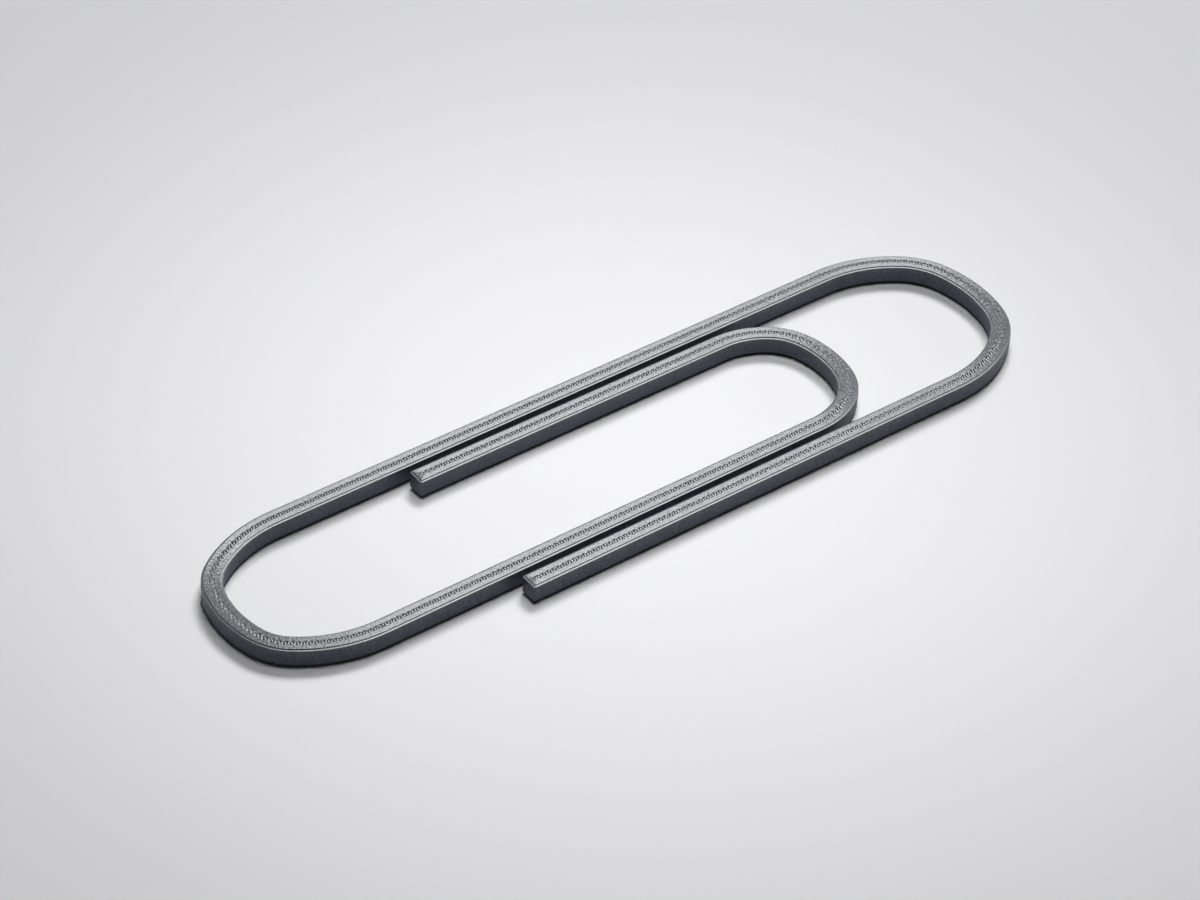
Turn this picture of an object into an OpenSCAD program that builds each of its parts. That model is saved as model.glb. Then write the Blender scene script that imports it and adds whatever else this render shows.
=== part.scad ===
// Large paper clip, printed in one piece and lying flat.
// One wire runs from the frame's free end, round the frame, round the spring bend
// and round the tongue to the tongue's free end.
// X runs along the clip, with the frame's bend at +X. Z is up.
// The origin is under the middle of the clip, on the surface that it lies on.

/* [Wire] */
// Width of the wire, seen from above
wire_width = 3.0; // [2.4:0.1:3.6]
// Height of the wire above the surface that it lies on
wire_height = 3.3; // [2.4:0.1:4.2]
// How far each bevelled edge runs in across the top and the underside
bevel_run = 0.28; // [0.1:0.02:0.5]
// How far each bevelled edge runs down or up the sides
bevel_drop = 0.54; // [0.2:0.02:0.8]
// Radius of the upright corners at the two free ends
end_corner_radius = 0.4; // [0.1:0.1:0.8]

/* [Outline] */
// Length over the spring bend and the frame's bend
overall_length = 134.8; // [120:0.2:150]
// Width over the frame's two legs
overall_width = 34; // [30:0.5:40]
// Clear gap between a leg of the tongue and the frame's leg beside it
leg_gap = 1.0; // [0.4:0.1:2]
// Clear distance from the tongue's nose to the inside of the frame's bend
nose_gap = 25.6; // [16:0.2:34]
// Straight length of the frame's free leg
frame_free_length = 77.7; // [50:0.1:90]
// Straight length of the tongue's free leg
tongue_free_length = 55.0; // [30:0.1:65]

/* [Bends] */
// Shoulder radius of the frame's bend, at its tightest
frame_shoulder_radius = 10.8; // [8:0.1:13]
// Crown radius of the frame's bend, across its tip
frame_crown_radius = 20.8; // [16:0.1:25]
// Shoulder radius of the spring bend, at its tightest
spring_shoulder_radius = 8.4; // [6:0.1:10.5]
// Crown radius of the spring bend, across its tip
spring_crown_radius = 18.3; // [14:0.1:22]
// Shoulder radius of the tongue's bend, at its tightest
tongue_shoulder_radius = 8.5; // [6.5:0.1:10]
// Crown radius of the tongue's bend, across its tip
tongue_crown_radius = 16.4; // [12:0.1:19]

/* [Hidden] */
$fa = 2;
$fs = 0.1;
print_grey = [0.62, 0.63, 0.64];

// Distances across the clip, all to the middle of the wire
leg_pitch = wire_width + leg_gap;
frame_half = (overall_width - wire_width) / 2;
tongue_half = frame_half - leg_pitch;
spring_half = frame_half - leg_pitch / 2;
spring_y = leg_pitch / 2;

// Half a bend turns from a leg to the tip in three arcs: lead, shoulder and crown.
// The lead ends where a 3-4-5 triangle points and the shoulder where a 7-24-25 one does,
// which is twice the turn, so that the arcs meet at exact places.
// Each is [along the leg, across it].
function lead_end() = [3, 4] / 5;
function shoulder_end() = [24, 7] / 25;
function arc_turn() = atan2(lead_end().x, lead_end().y);
// Longer than any bend, for cutting arcs out of rings
cut_reach = 2 * overall_width;

// The lead takes up what the shoulder and the crown leave of the bend's half width
function lead_radius(half, shoulder, crown) =
    (half - shoulder * (lead_end().y - shoulder_end().y) - crown * shoulder_end().y)
    / (1 - lead_end().y);

// How far a bend reaches past the ends of its legs, to the middle of the wire
function bend_reach(half, shoulder, crown) =
    lead_radius(half, shoulder, crown) * lead_end().x
    + shoulder * (shoulder_end().x - lead_end().x)
    + crown * (1 - shoulder_end().x);

// Places along the clip where legs and bends meet
tip_x = (overall_length - wire_width) / 2;
nose_x = tip_x - nose_gap - wire_width;
spring_x = bend_reach(spring_half, spring_shoulder_radius, spring_crown_radius) - tip_x;
frame_bend_x = tip_x - bend_reach(frame_half, frame_shoulder_radius, frame_crown_radius);
tongue_bend_x = nose_x - bend_reach(tongue_half, tongue_shoulder_radius, tongue_crown_radius);

// Block with its long edges bevelled: [across, up] points, with the middle of its foot at 0
module bevelled_outline(width) {
    edge = width / 2;
    polygon([
        [-edge + bevel_run, 0], [edge - bevel_run, 0],
        [edge, bevel_drop], [edge, wire_height - bevel_drop],
        [edge - bevel_run, wire_height], [-edge + bevel_run, wire_height],
        [-edge, wire_height - bevel_drop], [-edge, bevel_drop]
    ]);
}

// Straight wire from x = 0 to x = length
module straight_wire(length) {
    rotate([90, 0, 90]) linear_extrude(length) bevelled_outline(wire_width);
}

// Everything on one side of x = 0: before it (-1) or past it (1)
module side_of_cut(side) {
    linear_extrude(4 * wire_height, center = true)
        translate([side * cut_reach / 2, 0]) square([cut_reach, 2 * cut_reach], center = true);
}

// Adds an arc to a wire, its children, which comes to the origin along +X.
// The wire is cut off there, and the arc turns it to the right. The end of the arc then
// lies at the origin in the same way, and the ring runs on past it for the next cut.
module add_arc(radius, turn) {
    translate([0, -radius]) rotate(turn) translate([0, radius]) {
        if ($children > 0) intersection() {
            children();
            side_of_cut(-1);
        }
        intersection() {
            translate([0, -radius]) rotate_extrude()
                translate([radius, 0]) bevelled_outline(wire_width);
            side_of_cut(1);
        }
    }
}

// Half a bend: it leaves a leg at [0, half] along +X and ends at its tip, on y = 0
module half_bend(half, shoulder, crown) {
    translate([bend_reach(half, shoulder, crown), 0]) rotate(-90) intersection() {
        add_arc(crown, 90 - 2 * arc_turn())
            add_arc(shoulder, arc_turn())
                add_arc(lead_radius(half, shoulder, crown), arc_turn());
        side_of_cut(-1);
    }
}

module whole_bend(half, shoulder, crown) {
    half_bend(half, shoulder, crown);
    mirror([0, 1, 0]) half_bend(half, shoulder, crown);
}

// Straight wire from a free end at x = 0 to x = length.
// The bevels run round the free end too, and its upright corners are rounded.
module free_wire(length) {
    round_y = wire_width / 2 - end_corner_radius;
    intersection() {
        straight_wire(length);
        // Side view, twice as long so that only its free end is bevelled
        translate([length, wire_width / 2, 0]) rotate([90, 0, 0])
            linear_extrude(wire_width) bevelled_outline(2 * length);
        // Plan
        linear_extrude(wire_height) {
            translate([end_corner_radius, -wire_width / 2]) square([length, wire_width]);
            translate([0, -round_y]) square([length, 2 * round_y]);
            for (side = [-1, 1])
                translate([end_corner_radius, side * round_y]) circle(end_corner_radius);
        }
    }
}

module frame_free_leg() {
    color(print_grey) translate([frame_bend_x - frame_free_length, -frame_half, 0])
        free_wire(frame_free_length);
}

module frame_bend() {
    color(print_grey) translate([frame_bend_x, 0, 0])
        whole_bend(frame_half, frame_shoulder_radius, frame_crown_radius);
}

module frame_long_leg() {
    color(print_grey) translate([spring_x, frame_half, 0])
        straight_wire(frame_bend_x - spring_x);
}

// The two halves of the spring bend meet at its tip, where the wire twists
// as the tongue lifts off the frame
module frame_spring_bend() {
    color(print_grey) translate([spring_x, spring_y, 0]) mirror([1, 0, 0])
        half_bend(spring_half, spring_shoulder_radius, spring_crown_radius);
}

module tongue_spring_bend() {
    color(print_grey) translate([spring_x, spring_y, 0]) rotate(180)
        half_bend(spring_half, spring_shoulder_radius, spring_crown_radius);
}

module tongue_long_leg() {
    color(print_grey) translate([spring_x, -tongue_half, 0])
        straight_wire(tongue_bend_x - spring_x);
}

module tongue_bend() {
    color(print_grey) translate([tongue_bend_x, 0, 0])
        whole_bend(tongue_half, tongue_shoulder_radius, tongue_crown_radius);
}

module tongue_free_leg() {
    color(print_grey) translate([tongue_bend_x - tongue_free_length, tongue_half, 0])
        free_wire(tongue_free_length);
}

frame_free_leg();
frame_bend();
frame_long_leg();
frame_spring_bend();
tongue_spring_bend();
tongue_long_leg();
tongue_bend();
tongue_free_leg();
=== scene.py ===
# %% [markdown]
# # A large paper clip, printed in silver plastic
#
# The clip is one flat wire, about 135 mm long, that a filament printer laid down in layers.
# The solid model gives its exact shape. This lesson dresses that shape with what the printer
# leaves behind: stacked layers on the sides, a narrow ledge along each edge, lines of plastic
# that follow the outline on top, and a band of zigzag filling between them.

# %% Load the frame
import math

import bmesh
import bpy
import numpy as np
from mathutils import Matrix, Vector


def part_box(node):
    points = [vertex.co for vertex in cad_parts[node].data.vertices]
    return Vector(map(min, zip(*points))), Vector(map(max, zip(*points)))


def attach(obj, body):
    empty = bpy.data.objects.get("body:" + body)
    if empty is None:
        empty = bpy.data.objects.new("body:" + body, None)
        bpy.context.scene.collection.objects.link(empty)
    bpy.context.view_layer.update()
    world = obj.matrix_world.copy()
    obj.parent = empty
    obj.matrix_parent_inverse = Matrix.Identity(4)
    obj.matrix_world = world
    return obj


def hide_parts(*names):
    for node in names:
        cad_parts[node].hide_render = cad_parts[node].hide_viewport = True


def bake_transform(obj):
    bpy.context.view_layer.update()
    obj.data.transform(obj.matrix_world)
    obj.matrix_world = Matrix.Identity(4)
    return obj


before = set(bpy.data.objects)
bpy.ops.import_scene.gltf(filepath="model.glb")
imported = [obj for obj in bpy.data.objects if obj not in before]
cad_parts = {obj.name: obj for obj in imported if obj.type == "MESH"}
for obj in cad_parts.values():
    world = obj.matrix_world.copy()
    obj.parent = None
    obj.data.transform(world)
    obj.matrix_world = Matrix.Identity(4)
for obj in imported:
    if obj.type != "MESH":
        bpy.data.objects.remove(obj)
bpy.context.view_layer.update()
MM = 0.001
print("nodes:", sorted(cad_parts))

# %% [markdown]
# ## Where the wire runs
#
# The straight legs of the solid model tell where everything is: their boxes give the wire's
# width and height, the places where the bends start, and the two free ends. All of it could be
# typed in again, but numbers that are read can't drift away from the solid. Working in
# millimetres keeps them readable, and they turn into metres when a mesh is made.

# %% Read the wire from the solid legs
def leg_box(node):
    """The lowest and the highest corner of a solid leg, in millimetres."""
    low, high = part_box(node)
    return np.array(low) / MM, np.array(high) / MM


far_low, far_high = leg_box("frame_long_leg")
near_low, near_high = leg_box("tongue_long_leg")
wire_width = far_high[1] - far_low[1]
wire_height = far_high[2]
frame_half = (far_low[1] + far_high[1]) / 2
tongue_half = -(near_low[1] + near_high[1]) / 2
spring_half = (frame_half + tongue_half) / 2
spring_y = (frame_half - tongue_half) / 2
spring_x = far_low[0]
frame_bend_x = far_high[0]
tongue_bend_x = near_high[0]
frame_end_x = leg_box("frame_free_leg")[0][0]
tongue_end_x = leg_box("tongue_free_leg")[0][0]
print(f"wire {wire_width:.2f} x {wire_height:.2f} mm")
print(f"legs at {frame_half:.2f} and {tongue_half:.2f} mm from the middle")

# %% [markdown]
# ## The bends
#
# No bend of a paper clip is a plain half circle. It leaves the leg gently, tightens at the
# shoulder and flattens across the tip. A spline with hand-placed handles could follow that, but
# three tangent arcs a side do it exactly, and the solid model uses the same three with the same
# radii. So the dressed wire lies where the solid one does.

# %% Draw the middle line of a bend
LEAD_END = np.array([3, 4]) / 5
SHOULDER_END = np.array([24, 7]) / 25
STEPS_PER_ARC = 14


def bend_line(half, shoulder, crown):
    """Points and outward normals from the leg at y = +half, round the tip, to y = -half."""
    lead = half - shoulder * (LEAD_END[1] - SHOULDER_END[1]) - crown * SHOULDER_END[1]
    lead = lead / (1 - LEAD_END[1])
    lead_centre = np.array([0, half - lead])
    shoulder_centre = lead_centre + (lead - shoulder) * LEAD_END
    crown_centre = shoulder_centre + (shoulder - crown) * SHOULDER_END
    centres = (lead_centre, shoulder_centre, crown_centre)
    turns = [0, math.atan2(*LEAD_END), math.atan2(*SHOULDER_END), math.pi / 2]
    points, normals = [], []
    for centre, radius, start, stop in zip(centres, (lead, shoulder, crown), turns, turns[1:]):
        for turn in np.linspace(start, stop, STEPS_PER_ARC, endpoint=False):
            normals.append([math.sin(turn), math.cos(turn)])
            points.append(centre + radius * np.array(normals[-1]))
    tip = [crown_centre + [crown, 0]]
    mirror = np.array([1, -1])
    points = np.vstack([points, tip, np.array(points)[::-1] * mirror])
    normals = np.vstack([normals, [[1, 0]], np.array(normals)[::-1] * mirror])
    return points, normals


frame_bend = bend_line(frame_half, shoulder=10.8, crown=20.8)
spring_bend = bend_line(spring_half, shoulder=8.4, crown=18.3)
tongue_bend = bend_line(tongue_half, shoulder=8.5, crown=16.4)
print("the frame's bend reaches", round(frame_bend[0][:, 0].max(), 2), "mm past its legs")

# %% [markdown]
# ## Three stretches of wire
#
# The tongue lifts off the frame while the spring bend twists between them. One mesh for the whole
# wire would have to bend somewhere in the middle. Three meshes are simpler: the frame and the
# tongue stay stiff, and only the spring bend has to bend from one to the other. Each line starts
# at its free end, if it has one.

# %% Join legs and bends into three lines
def moved(bend, x, y=0, flip=1):
    points, normals = bend
    return points * [flip, 1] + [x, y], normals * [flip, 1]


def joined(start, bend, end):
    """A leg from the point start, a bend, and a leg to the point end."""
    points, normals = bend
    return (
        np.vstack([[start], points, [end]]),
        np.vstack([normals[:1], normals, normals[-1:]]),
    )


frame_points, frame_normals = moved(frame_bend, frame_bend_x)
frame_line = joined(
    [frame_end_x, -frame_half], (frame_points[::-1], frame_normals[::-1]), [spring_x, frame_half]
)
spring_line = moved(spring_bend, spring_x, spring_y, flip=-1)
tongue_line = joined(
    [tongue_end_x, tongue_half], moved(tongue_bend, tongue_bend_x), [spring_x, -tongue_half]
)
lines = {"frame_wire": frame_line, "spring_wire": spring_line, "tongue_wire": tongue_line}
FREE_ENDED = ("frame_wire", "tongue_wire")
print("sections:", {name: len(points) for name, (points, normals) in lines.items()})

# %% [markdown]
# ## The foot and the walls
#
# A printer stacks layers of about 0.2 mm. Each layer bulges a little at the side and leaves a fine
# groove where it meets the next; the grooves are also painted a little darker, as painted shade.
# The first layers are set back, which leaves a dark slit along the card, and the faces of that
# foot are painted near-black as a painted contact shadow. A bump pattern could fake all that, but
# real steps catch the light from every side and stay in the mesh when it is exported.
#
# The section is written down as rows of [how far in from the side, height, shade]. Shade says how
# a place looks apart from its shape: STRAND on the filling, LINE on the lines on top, LEDGE on the
# ledge, SIDE on the walls and DEEP in slits and gaps. Most of these are painted light: STRAND is
# painted paler than LINE as a painted sheen, LEDGE and SIDE are painted darker as painted shade,
# and DEEP is painted near-black as painted shade.

# %% Write down the foot and the walls
# Shade values: STRAND is a painted sheen; LEDGE, SIDE and DEEP are painted shade
STRAND, LINE, LEDGE, SIDE, DEEP = 0.0, 0.1, 0.25, 0.5, 1.0
LAYER = 0.2
UNDERSIDE_RIM = 0.03
FOOT_RUN = 0.25
FOOT_LEAN = 0.6
FOOT_RISE = 0.6
FOOT_LIP = 0.04
GROOVE_DEPTH = 0.012
GROOVE_EDGE = 0.002
GROOVE_REACH = 0.2 * LAYER
# The wall grooves are painted a little darker than the walls, as painted shade in the creases
GROOVE_SHADE = SIDE + 0.1
LAYER_SETBACKS = [0.0, 0.004, 0.01, 0.02]
LEDGE_DROP = 0.15
ledge_height = wire_height - LEDGE_DROP
# The foot's faces (DEEP) are painted near-black as a painted contact shadow along the card
foot_rows = [
    (FOOT_RUN + UNDERSIDE_RIM, 0.0, LEDGE),
    (FOOT_RUN, 0.0, DEEP),
    (FOOT_LEAN * FOOT_RUN, FOOT_RISE, DEEP),
    (0.0, FOOT_RISE + FOOT_LIP, SIDE),
]
# The first groove lies at least half a layer above the foot
first_seam = math.ceil(FOOT_RISE / LAYER + 0.5)
wall_top = ledge_height - len(LAYER_SETBACKS) * LAYER
wall_rows = []
for number in range(first_seam, math.floor(wall_top / LAYER) + 1):
    seam = number * LAYER
    wall_rows.append((GROOVE_EDGE, seam - GROOVE_REACH, SIDE))
    wall_rows.append((GROOVE_DEPTH, seam, GROOVE_SHADE))
    wall_rows.append((GROOVE_EDGE, seam + GROOVE_REACH, SIDE))
print(len(foot_rows), "rows in the foot and", len(wall_rows), "in the walls")

# %% [markdown]
# ## The ledge
#
# Near the top the layers step in by a few hundredths of a millimetre, which softens the edge.
# The last layer is set back a good deal more. So the one below it peeks out as a narrow bright
# ledge that slopes a little outwards, and the riser behind it shows as a thin dark line. The ledge
# is also painted darker than the lines, as painted shade, and the faces of the last layers blend
# from the walls' painted shade into it. A bevel would be quicker, but it would shine as one smooth
# strip and have no line along it.

# %% Step the last layers in
TOP_SETBACK = 0.34
LEDGE_SLOPE = 0.16
LEDGE_SHARES = (0.03, 0.5, 0.97)
LEDGE_LIP = 0.01
LAYER_FACE = 0.95 * LAYER
steps = len(LAYER_SETBACKS) - 1
ledge_rows = []
for number, setback in enumerate(LAYER_SETBACKS):
    height = ledge_height - (steps - number) * LAYER
    width = (LAYER_SETBACKS + [TOP_SETBACK])[number + 1] - setback
    fall = LEDGE_SLOPE * width
    # The faces blend from the walls' painted shade up into the ledge's darker painted shade
    face_shade = SIDE + (LEDGE - SIDE) * number / steps
    ledge_rows.append((setback, height - LAYER_FACE, face_shade))
    ledge_rows.append((setback, height - fall - LEDGE_LIP, face_shade))
    for share in LEDGE_SHARES:
        ledge_rows.append((setback + share * width, height - fall * (1 - share), LEDGE))
ledge_rows.append((TOP_SETBACK, ledge_height, LEDGE))
print(len(ledge_rows), "rows in the ledge, which is", round(width, 2), "mm wide")

# %% [markdown]
# ## The lines on top
#
# On the last layer two lines of plastic follow the outline on each side, and the band between
# them lies lower. The nozzle draws fine ridges along its lines. They make the shine depend on the
# way that the wire runs: bright across the light, dull along it. An anisotropic shader could do
# the same, but ridges of real geometry also work in the exported mesh. The real ridges are too
# fine to show, so only three are drawn on a line.

# %% Lay the lines and the floor of the band
LINES_PER_SIDE = 2
LINE_WIDTH = 0.39
RIDGES_PER_LINE = 3
RIDGE_STEPS = 4
RIDGE_SAG = 0.012
BAND_DEPTH = 0.1
BAND_WALL_RUN = 0.01
band_inset = TOP_SETBACK + LINES_PER_SIDE * LINE_WIDTH
ridges = LINES_PER_SIDE * RIDGES_PER_LINE
top_rows = []
for share in np.linspace(0, ridges, ridges * RIDGE_STEPS + 1):
    sag = RIDGE_SAG * (2 * (share % 1) - 1) ** 2
    run = TOP_SETBACK + share * LINE_WIDTH / RIDGES_PER_LINE
    top_rows.append((run, wire_height - sag, LINE))
# The floor of the band is painted near-black as painted shade; floor_shades sets it per section
top_rows.append((band_inset + BAND_WALL_RUN, wire_height - BAND_DEPTH, DEEP))
rows = foot_rows + wall_rows + ledge_rows + top_rows
print(len(rows), "rows in the whole section")

# %% [markdown]
# ## Rows into rings
#
# Each row of the section becomes one closed ring: along one side of the line, round the free end
# with its small rounded corners, and back along the other side. Blender could sweep a profile
# along a curve, but then the lines on top would stop at the free ends. As rings they turn the
# corner there, as the printer's nozzle does.

# %% Draw a row as a ring
END_CORNER = 0.4
SMALLEST_CORNER = 0.1
CORNER_STEPS = 5


def ring(line, inset, free_end):
    """Points round a stretch of wire, a set distance in from its sides."""
    points, normals = line
    half = wire_width / 2 - inset
    outer, inner = points + half * normals, points - half * normals
    if not free_end:
        return np.vstack([outer[::-1], inner])
    along = points[1] - points[0]
    along = along / np.linalg.norm(along)
    radius = max(END_CORNER - inset, SMALLEST_CORNER)
    corners = []
    for side in (1, -1):
        centre = points[0] + (inset + radius) * along + side * (half - radius) * normals[0]
        for turn in np.linspace(0, math.pi / 2, CORNER_STEPS)[::side]:
            across = side * math.cos(turn) * normals[0]
            corners.append(centre + radius * (across - math.sin(turn) * along))
    return np.vstack([outer[:0:-1], corners, inner[1:]])


print("a ring round the frame has", len(ring(frame_line, 0.0, free_end=True)), "points")

# %% [markdown]
# ## The floor of the band
#
# The strands of the filling all have one direction on the print bed. On the legs they cross the
# band like rungs, and the floor in the gaps between them is painted near-black as painted shade.
# Near the tips of the bends they run along the band and lie close together, so its floor gets the
# lines' grey there. How far the strands cross the wire gives how dark the floor is painted at each
# section.

# %% Shade the floor by the strands' direction
STRAND_TILT = 68.3
LEAST_CROSSING = 0.3
CROSSING_RUN = 0.4
strand_way = np.array([math.cos(math.radians(STRAND_TILT)), math.sin(math.radians(STRAND_TILT))])


# Painted shade: the band's floor is painted near-black where the strands cross the wire
def floor_shades(line, free_end):
    """One shade for each point of the last ring."""
    normals = line[1]
    around = [normals[::-1], normals]
    if free_end:
        around = [normals[:0:-1], np.repeat(normals[:1], 2 * CORNER_STEPS, axis=0), normals[1:]]
    crossing = np.abs(np.vstack(around) @ strand_way)
    return LINE + (DEEP - LINE) * np.clip((crossing - LEAST_CROSSING) / CROSSING_RUN, 0, 1)


print("the palest floor in the spring bend:", round(floor_shades(spring_line, False).min(), 2))

# %% [markdown]
# ## Rings into a skin
#
# Rings next to each other are joined by four-sided faces. The first ring is closed by the
# underside and the last one by the floor of the band, each with a strip from side to side. One
# large face would be shorter to write, but a face that winds round a bend doesn't shade cleanly.

# %% Build the skins
def strip_faces(first, count, sections):
    """Faces that close a ring: a strip between its two sides, and one face at a free end."""
    faces = []
    for step in range(sections - 1):
        left, right = first + step, first + count - 1 - step
        faces.append((left, left + 1, right - 1, right))
    end = range(first + sections - 1, first + count - sections + 1)
    if len(end) > 2:
        faces.append(tuple(end))
    return faces


def skin(line, free_end):
    """Points, faces and shades of a closed stretch of wire."""
    verts, shades = [], []
    for inset, height, shade in rows:
        spots = ring(line, inset, free_end)
        verts += [(*spot, height) for spot in spots]
        shades += [shade] * len(spots)
    count = len(verts) // len(rows)
    shades[-count:] = floor_shades(line, free_end)
    faces = []
    for row in range(len(rows) - 1):
        for spot in range(count):
            after = (spot + 1) % count
            low, high = row * count, (row + 1) * count
            faces.append((low + spot, low + after, high + after, high + spot))
    sections = len(line[0]) - (1 if free_end else 0)
    faces += strip_faces(0, count, sections)
    faces += strip_faces((len(rows) - 1) * count, count, sections)
    return verts, faces, shades


skins = {name: skin(line, name in FREE_ENDED) for name, line in lines.items()}
print("points:", {name: len(verts) for name, (verts, faces, shades) in skins.items()})

# %% [markdown]
# ## The zigzag filling
#
# Between the lines the printer fills the top with one strand after another. All strands have the
# same direction on the print bed, whichever way the wire runs, so they look like the rungs of a
# ladder on the legs and like a mottled grain in the bends. At each end a rung turns into the
# next, by turns on one side and on the other. A striped bump could draw the ladder, but it would
# not know where the band ends. So every strand is cut where it meets the outline of the band.

# %% Cut the strands
STRAND_PITCH = 0.41
SHORTEST_STRAND = 0.25
strand_side = np.array([strand_way[1], -strand_way[0]])


def strand_cuts(outline):
    """For each strand's line, the pieces of it that lie inside a closed outline."""
    side, way = outline @ strand_side, outline @ strand_way
    next_side, next_way = np.roll(side, -1), np.roll(way, -1)
    first = math.ceil(side.min() / STRAND_PITCH)
    last = math.floor(side.max() / STRAND_PITCH)
    cuts = {}
    for number in range(first, last + 1):
        place = number * STRAND_PITCH
        crossed = (side > place) != (next_side > place)
        share = (place - side[crossed]) / (next_side[crossed] - side[crossed])
        found = np.sort(way[crossed] + share * (next_way[crossed] - way[crossed]))
        cuts[number] = [(a, b) for a, b in found.reshape(-1, 2) if b - a > SHORTEST_STRAND]
    return cuts


BAND_MARGIN = 0.06
cuts = {}
for name, line in lines.items():
    cuts[name] = strand_cuts(ring(line, band_inset + BAND_MARGIN, name in FREE_ENDED))
    print(name, "has", sum(len(pieces) for pieces in cuts[name].values()), "strands")

# %% Join the rungs by turns
STRAND_WIDTH = 0.25
TURN_WIDTH = 0.2
LONGEST_TURN = 0.8
LONGEST_RUNG = 0.9


def strand_paths(cuts):
    """Start point, end point and width of all strands and of the turns between rungs."""
    paths = []
    for number, pieces in cuts.items():
        place = number * STRAND_PITCH * strand_side
        next_place = place + STRAND_PITCH * strand_side
        end = number % 2
        for piece in pieces:
            is_rung = piece[1] - piece[0] < 2 * LONGEST_RUNG
            spots = [place + piece[0] * strand_way, place + piece[1] * strand_way]
            paths.append((*spots, STRAND_WIDTH))
            for other in cuts.get(number + 1, []):
                if is_rung and abs(piece[end] - other[end]) < LONGEST_TURN:
                    paths.append((spots[end], next_place + other[end] * strand_way, TURN_WIDTH))
    return paths


paths = {name: strand_paths(cuts[name]) for name in lines}
print("strands and turns:", {name: len(found) for name, found in paths.items()})

# %% [markdown]
# ## Strands into beads
#
# A strand of warm plastic settles into a low bead with a flat back and steep sides. On a rung the
# bead is narrow, with dark gaps beside it and rounded ends. Its top is painted paler than the
# lines as a painted sheen, and its sides and ends are painted near-black as painted shade. A
# strand that runs along the wire lies close against its neighbours, so it is as wide as their
# spacing, has no rounded ends and looks like one more line, in the lines' grey. Between the two
# the length of the strand decides.

# %% Shape the beads
STRAND_HEIGHT = 0.1
BEAD_SINK = 0.01
SHORT_BEAD = 0.5
RUNG_FADE = 4
BEAD_ACROSS = [-0.5, -0.43, -0.22, 0.0, 0.22, 0.43, 0.5]
BEAD_UP = [0.0, 0.9, 0.98, 1.0, 0.98, 0.9, 0.0]
# Rung tops are painted paler as a painted sheen, their sides near-black as painted shade
BEAD_SHADE = [DEEP, STRAND, STRAND, STRAND, STRAND, STRAND, DEEP]
# Distance from the end, share of the height and share of the width
BEAD_ENDS = [(-0.03, 0.0, 0.6), (0.03, 0.8, 0.85), (0.15, 1.0, 1.0)]


def bead_stations(start, end, width):
    """Place, height and width of the cross sections along one bead."""
    length = np.linalg.norm(end - start)
    along = (end - start) / length
    shrink = min(1, length / SHORT_BEAD)
    head, tail = [], []
    for shift, rise, scale in BEAD_ENDS:
        head.append((start + shrink * shift * along, rise, scale * width))
        tail.append((end - shrink * shift * along, rise, scale * width))
    return along, head + tail[::-1]


def beads(paths):
    """Points, faces and shades of one bead for each path, sunk into the floor of the band."""
    verts, faces, shades = [], [], []
    floor = wire_height - BAND_DEPTH - BEAD_SINK
    size = len(BEAD_ACROSS)
    for start, end, width in paths:
        rung = min(1, LONGEST_RUNG / np.linalg.norm(end - start)) ** RUNG_FADE
        along, stations = bead_stations(start, end, rung * width + (1 - rung) * STRAND_PITCH)
        across = np.array([-along[1], along[0]])
        first = len(verts)
        for spot, rise, wide in stations:
            top = rise**rung * STRAND_HEIGHT
            for offset, up in zip(BEAD_ACROSS, BEAD_UP):
                verts.append((*(spot + offset * wide * across), floor + up * top))
            # Rungs are painted near-black at their ends as painted shade; long strands take the
            # lines' grey
            shades += [rung * max(shade, 1 - rise) + (1 - rung) * LINE for shade in BEAD_SHADE]
        for station in range(len(stations) - 1):
            for spot in range(size - 1):
                a = first + station * size + spot
                faces.append((a, a + size, a + size + 1, a + 1))
    return verts, faces, shades


fillings = {name: beads(paths[name]) for name in lines}
print("faces:", {name: len(faces) for name, (verts, faces, shades) in fillings.items()})

# %% [markdown]
# ## From points to meshes
#
# The skin is closed, so Blender can turn all its faces outwards. The beads are open underneath
# and already face upwards, so they are added after that. The shade of each point is kept with the
# mesh for the material. Smooth shading with sharp edges above a set angle keeps the rounded lines
# soft and the grooves crisp.

# %% Make the three meshes
SHARP_ANGLE = 20


def add_surface(build, shade_layer, verts, faces, shades):
    spots = []
    for place, shade in zip(verts, shades):
        spots.append(build.verts.new(Vector(place) * MM))
        spots[-1][shade_layer] = shade
    for face in faces:
        build.faces.new([spots[i] for i in face])


def make_wire(name):
    build = bmesh.new()
    shade_layer = build.verts.layers.float.new("shade")
    add_surface(build, shade_layer, *skins[name])
    bmesh.ops.recalc_face_normals(build, faces=build.faces[:])
    add_surface(build, shade_layer, *fillings[name])
    mesh = bpy.data.meshes.new(name)
    build.to_mesh(mesh)
    build.free()
    mesh.shade_smooth()
    mesh.set_sharp_from_angle(angle=math.radians(SHARP_ANGLE))
    piece = bpy.data.objects.new(name, mesh)
    bpy.context.scene.collection.objects.link(piece)
    return piece


wires = {name: make_wire(name) for name in lines}
print("faces in all:", {name: len(piece.data.polygons) for name, piece in wires.items()})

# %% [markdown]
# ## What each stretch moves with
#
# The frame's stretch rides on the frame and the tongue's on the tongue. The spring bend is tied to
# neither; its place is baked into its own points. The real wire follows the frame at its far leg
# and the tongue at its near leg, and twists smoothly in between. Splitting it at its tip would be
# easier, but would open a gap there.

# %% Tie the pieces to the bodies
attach(wires["frame_wire"], "frame")
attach(wires["tongue_wire"], "tongue")
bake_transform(wires["spring_wire"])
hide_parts("frame_free_leg", "frame_bend", "frame_long_leg")
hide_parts("frame_spring_bend", "tongue_spring_bend")
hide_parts("tongue_long_leg", "tongue_bend", "tongue_free_leg")

# %% [markdown]
# ## Colour and nodes
#
# Colours are written as they look on a screen. Blender's shaders work with linear light, so one
# function turns a hex colour into linear numbers. A second one adds a node with its settings and
# links, and a third starts an empty material.

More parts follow.
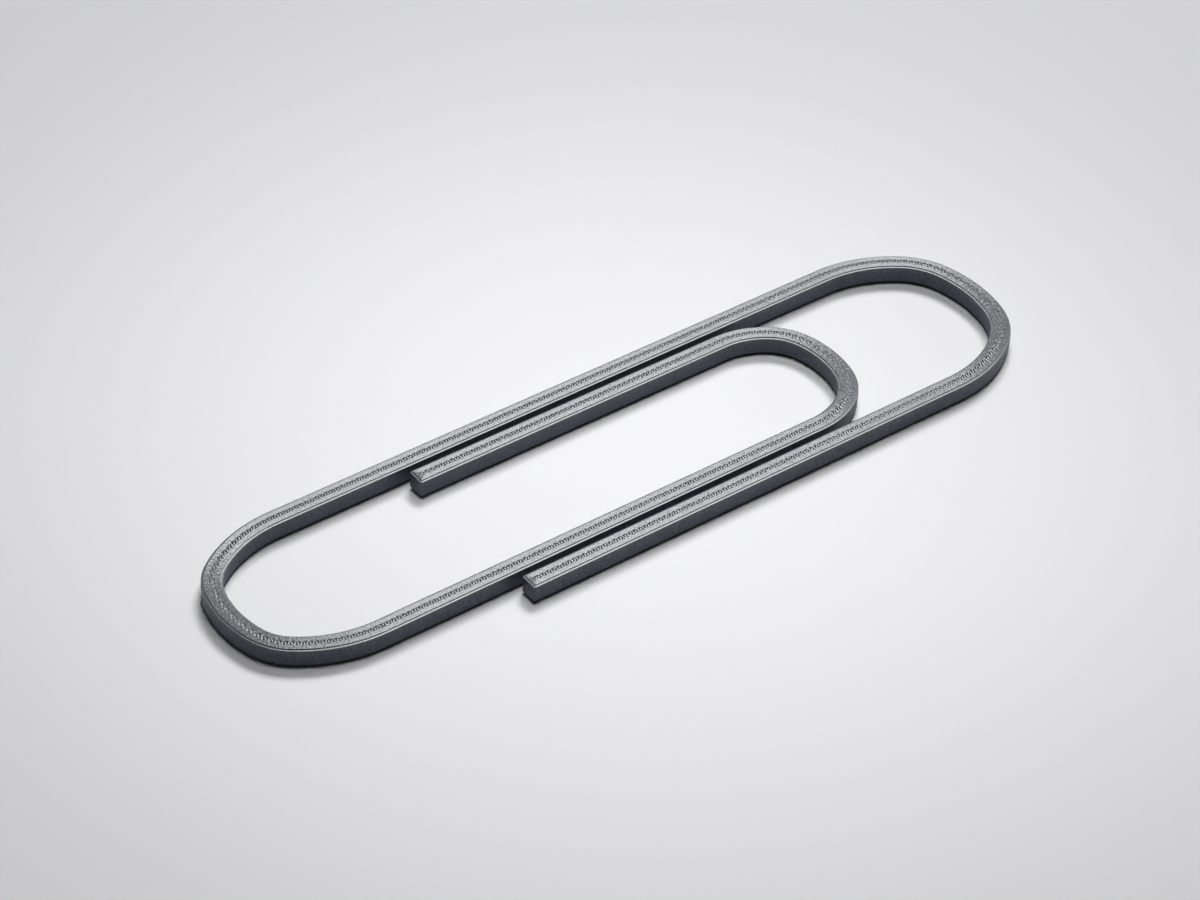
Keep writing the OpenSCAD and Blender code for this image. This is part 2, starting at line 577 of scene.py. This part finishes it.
# %% Three helpers for materials
def linear(hex_colour):
    values = [int(hex_colour[i : i + 2], 16) / 255 for i in (1, 3, 5)]
    return [v / 12.92 if v <= 0.04045 else ((v + 0.055) / 1.055) ** 2.4 for v in values] + [1]


def add_node(tree, kind, links=None, **settings):
    """Adds a node, sets its properties or unlinked sockets, and links its named inputs."""
    node = tree.nodes.new(kind)
    for name, value in settings.items():
        if hasattr(node, name):
            setattr(node, name, value)
        else:
            node.inputs[name.replace("_", " ")].default_value = value
    for name, output in (links or {}).items():
        tree.links.new(output, node.inputs[name])
    return node


def new_material(name):
    material = bpy.data.materials.new(name)
    material.use_nodes = True
    tree = material.node_tree
    tree.nodes.clear()
    return material, tree


print("a screen's middle grey in linear light:", round(linear("#808080")[0], 3))

# %% [markdown]
# ## Silver PLA
#
# The clip is PLA with a fine silver pigment, as it left the nozzle: a cold grey plastic with a
# satin skin. To the eye that is a dark grey body under a pale shine. So the top is bright where it
# mirrors the lamp, and grey where a bend turns its ridges away. The filling and the lines are the
# smoothest, because the hot nozzle wiped over them. The ledge is duller, the walls are duller
# still, and the gaps hold no shine at all. Part of the grey is painted light: the rungs are
# painted paler than the lines as a painted sheen, the ledge is painted darker and the walls darker
# and a little bluer as painted shade, and the gaps, slits and wall grooves are painted near-black
# or darker as painted shade.
#
# Five materials could do that, but they would meet in hard edges. Here one material reads the
# shade of each point, and three colour ramps turn it into grey, roughness and depth of grain.

# %% Turn shades into grey, shine and grain
# STRAND is painted paler as a painted sheen; LEDGE darker, SIDE darker and bluer, DEEP near-black,
# all painted shade
GREY = {STRAND: "#70747a", LINE: "#555960", LEDGE: "#454a54", SIDE: "#4b5466", DEEP: "#1c1d20"}
ROUGHNESS = {STRAND: 0.2, LINE: 0.26, LEDGE: 0.37, SIDE: 0.55, DEEP: 1.0}
GRAIN_SHARE = {STRAND: 0.3, LINE: 1.0, LEDGE: 0.7, SIDE: 0.2, DEEP: 0.2}
RAMP_ENDS = {STRAND: 0, DEEP: -1}
silver_pla, tree = new_material("silver_pla_as_printed")
shade = add_node(tree, "ShaderNodeAttribute", attribute_name="shade").outputs["Fac"]
ramps = []
for values in (GREY, ROUGHNESS, GRAIN_SHARE):
    ramp = add_node(tree, "ShaderNodeValToRGB", {"Fac": shade})
    stops = ramp.color_ramp.elements
    for spot, value in values.items():
        stop = stops[RAMP_ENDS[spot]] if spot in RAMP_ENDS else stops.new(spot)
        stop.color = linear(value) if values is GREY else [value] * 3 + [1]
    ramps.append(ramp.outputs["Color"])
grey, shine, relief = ramps
print(silver_pla.name, "has ramps with", len(stops), "stops")

# %% [markdown]
# ## Uneven grey
#
# Plastic flows unevenly, so the grey changes a little over a few millimetres. The pigment also
# lies in specks, well under 0.1 mm. Those are too fine to show in the render, so the grain is
# drawn as coarse as it needs, at 0.4 mm. Two noise textures vary the grey by these sizes.

# %% Vary the grey
FLOW_MM = 2.5
FLOW_SPREAD = 0.06
GRAIN_MM = 0.4
GRAIN_SPREAD = 0.35
NOISE_LOW, NOISE_HIGH = 0.3, 0.7
place = add_node(tree, "ShaderNodeTexCoord").outputs["Object"]
flow = add_node(
    tree, "ShaderNodeTexNoise", {"Vector": place}, Scale=1 / (FLOW_MM * MM), Detail=2.0
)
grain = add_node(
    tree, "ShaderNodeTexNoise", {"Vector": place}, Scale=1 / (GRAIN_MM * MM), Detail=1.0
)
for noise, spread in ((flow, FLOW_SPREAD), (grain, GRAIN_SPREAD)):
    vary = add_node(
        tree,
        "ShaderNodeMapRange",
        {"Value": noise.outputs["Fac"]},
        From_Min=NOISE_LOW,
        From_Max=NOISE_HIGH,
        To_Min=1 - spread,
        To_Max=1 + spread,
    )
    grey = add_node(
        tree, "ShaderNodeVectorMath", {0: grey, "Scale": vary.outputs["Result"]}, operation="SCALE"
    ).outputs["Vector"]
scales = [round(noise.inputs["Scale"].default_value) for noise in (flow, grain)]
print("noise cells in a metre:", scales)

# %% [markdown]
# ## Grain and ripples
#
# The same grain roughens the skin. It is deepest on the lines, where it breaks up the shine, and
# faint on the rungs and the walls. The strands also have ripples across them, from the small
# jolts of the nozzle. These are far below 0.1 mm, so they are drawn as coarse as they need to
# show, one every 0.15 mm. The depths are small enough for bump, and need no geometry.

# %% Raise the grain and the ripples
GRAIN_DEPTH_MM = 0.05
RIPPLE_MM = 0.15
RIPPLE_DEPTH_MM = 0.004
skin_bump = add_node(
    tree,
    "ShaderNodeBump",
    {"Height": grain.outputs["Fac"], "Strength": relief},
    Distance=GRAIN_DEPTH_MM * MM,
)
along = add_node(tree, "ShaderNodeVectorMath", {0: place}, operation="DOT_PRODUCT")
along.inputs[1].default_value = (*strand_way * 2 * math.pi / (RIPPLE_MM * MM), 0)
wave = add_node(tree, "ShaderNodeMath", {0: along.outputs["Value"]}, operation="SINE")
on_strand = add_node(
    tree,
    "ShaderNodeMapRange",
    {"Value": shade},
    From_Min=STRAND,
    From_Max=LINE,
    To_Min=1.0,
    To_Max=0.0,
)
ripples = add_node(
    tree,
    "ShaderNodeMath",
    {0: wave.outputs["Value"], 1: on_strand.outputs["Result"]},
    operation="MULTIPLY",
)
strand_bump = add_node(
    tree,
    "ShaderNodeBump",
    {"Height": ripples.outputs["Value"], "Normal": skin_bump.outputs["Normal"]},
    Strength=1.0,
    Distance=RIPPLE_DEPTH_MM * MM,
)
print("ripples in a millimetre:", round(1 / RIPPLE_MM, 1))

# %% [markdown]
# ## One shader
#
# PLA bends light by about 1.46. The pigment under its skin mirrors more than clear plastic does,
# so the specular level is full.

# %% Put the plastic together
PLA_IOR = 1.46
plastic = add_node(
    tree,
    "ShaderNodeBsdfPrincipled",
    {"Base Color": grey, "Roughness": shine, "Normal": strand_bump.outputs["Normal"]},
    IOR=PLA_IOR,
    Specular_IOR_Level=1.0,
)
add_node(tree, "ShaderNodeOutputMaterial", {"Surface": plastic.outputs["BSDF"]})
for piece in wires.values():
    piece.data.materials.append(silver_pla)
print(silver_pla.name, "has", len(tree.nodes), "nodes")

# %% [markdown]
# ## White card
#
# The clip lies on plain matt white card. It is white to the camera and in the clip's shine. The
# light that it throws back at the clip is that of a grey card, because the real clip's sides are
# dark. Black card beside the clip would do the same in a studio, but would show in other views.

# %% Lay the floor
FLOOR_SIZE = 1.8
CARD_WHITE = "#f7f7f9"
CARD_BOUNCE = "#7c7c7c"
bpy.ops.mesh.primitive_plane_add(size=FLOOR_SIZE)
floor = bpy.context.object
floor.name = "floor"
white_card, tree = new_material("white_card")
path = add_node(tree, "ShaderNodeLightPath")
card = add_node(tree, "ShaderNodeBsdfDiffuse", Color=linear(CARD_WHITE))
bounce = add_node(tree, "ShaderNodeBsdfDiffuse", Color=linear(CARD_BOUNCE))
seen = add_node(
    tree,
    "ShaderNodeMixShader",
    {"Fac": path.outputs["Is Diffuse Ray"], 1: card.outputs["BSDF"], 2: bounce.outputs["BSDF"]},
)
add_node(tree, "ShaderNodeOutputMaterial", {"Surface": seen.outputs["Shader"]})
floor.data.materials.append(white_card)
print("the card is", FLOOR_SIZE, "m wide")

# %% [markdown]
# ## Lamps
#
# One soft lamp hangs over the far side of the clip. It makes the top bright and the near sides
# dark, and a short shadow falls towards the viewer. A small weak lamp above the clip brightens the
# card in the middle, so that the card darkens towards the corners. Many lamps would fill the
# shadows, and the ridges on top would no longer show which way the wire runs.

# %% Hang the lamps
def hang_lamp(name, place, size, energy, spread=180):
    """A soft rectangular lamp that points at the middle of the clip."""
    data = bpy.data.lights.new(name, "AREA")
    data.shape = "RECTANGLE"
    data.size, data.size_y = size
    data.energy = energy
    data.spread = math.radians(spread)
    lamp = bpy.data.objects.new(name, data)
    lamp.location = place
    lamp.rotation_mode = "QUATERNION"
    lamp.rotation_quaternion = (-Vector(place)).to_track_quat("-Z", "Y")
    lamp.visible_camera = False
    bpy.context.scene.collection.objects.link(lamp)
    print(f"{name}: {energy} W at {Vector(place).length:.2f} m")


hang_lamp("back_lamp", place=(0.645, 0.517, 1.219), size=(0.68, 0.41), energy=15.4)
hang_lamp("pool_lamp", place=(0.0, 0.0, 0.3), size=(0.15, 0.15), energy=0.032, spread=40)

# %% [markdown]
# ## The room
#
# A white room surrounds the card. It adds hardly any light, but the camera and the clip's shine
# see it as a pale grey. Light Path tells these rays from the ones that only light the scene.

# %% Make the room
ROOM_LIGHT = 0.03
ROOM_SEEN = 0.4
world = bpy.data.worlds.new("soft_room")
bpy.context.scene.world = world
world.use_nodes = True
tree = world.node_tree
tree.nodes.clear()
path = add_node(tree, "ShaderNodeLightPath")
seen = path.outputs["Is Camera Ray"]
for other in ("Is Glossy Ray", "Is Transmission Ray"):
    seen = add_node(
        tree, "ShaderNodeMath", {0: seen, 1: path.outputs[other]}, operation="MAXIMUM"
    ).outputs["Value"]
strength = add_node(
    tree, "ShaderNodeMapRange", {"Value": seen}, To_Min=ROOM_LIGHT, To_Max=ROOM_SEEN
)
room = add_node(
    tree,
    "ShaderNodeBackground",
    {"Strength": strength.outputs["Result"]},
    Color=linear("#ffffff"),
)
add_node(tree, "ShaderNodeOutputWorld", {"Surface": room.outputs["Background"]})
print(world.name, "has", len(tree.nodes), "nodes")

# %% [markdown]
# ## Camera
#
# The camera looks down at the clip from the side that its free ends point to, through a long lens
# and turned a little about its own axis. Its place is worked out from two angles and a distance,
# which are easier to read than coordinates.

# %% Set up the camera
AZIMUTH, ELEVATION, ROLL = (math.radians(a) for a in (-38.49, 39.94, 2.65))
CAMERA_AIM = Vector((-1.3, 4.47, 0)) * MM
CAMERA_DISTANCE = 542.2 * MM
LENS = 112.6
back = Vector(
    (
        math.sin(AZIMUTH) * math.cos(ELEVATION),
        -math.cos(AZIMUTH) * math.cos(ELEVATION),
        math.sin(ELEVATION),
    )
)
right = (-back).cross(Vector((0, 0, 1))).normalized()
up = right.cross(-back)
camera_data = bpy.data.cameras.new("camera")
camera_data.lens = LENS
camera = bpy.data.objects.new("camera", camera_data)
turned = Matrix((right, up, back)).transposed() @ Matrix.Rotation(ROLL, 3, "Z")
camera.matrix_world = Matrix.Translation(CAMERA_AIM + CAMERA_DISTANCE * back) @ turned.to_4x4()
bpy.context.scene.collection.objects.link(camera)
bpy.context.scene.camera = camera
bpy.context.scene.view_settings.view_transform = "Standard"
print("camera at", [round(c, 3) for c in CAMERA_AIM + CAMERA_DISTANCE * back], "m")

# %% [markdown]
# ## Finish
#
# The scene is brought up to date. The dressed wire must stay inside the solid one's
# box.

# %% Finish
bpy.context.view_layer.update()
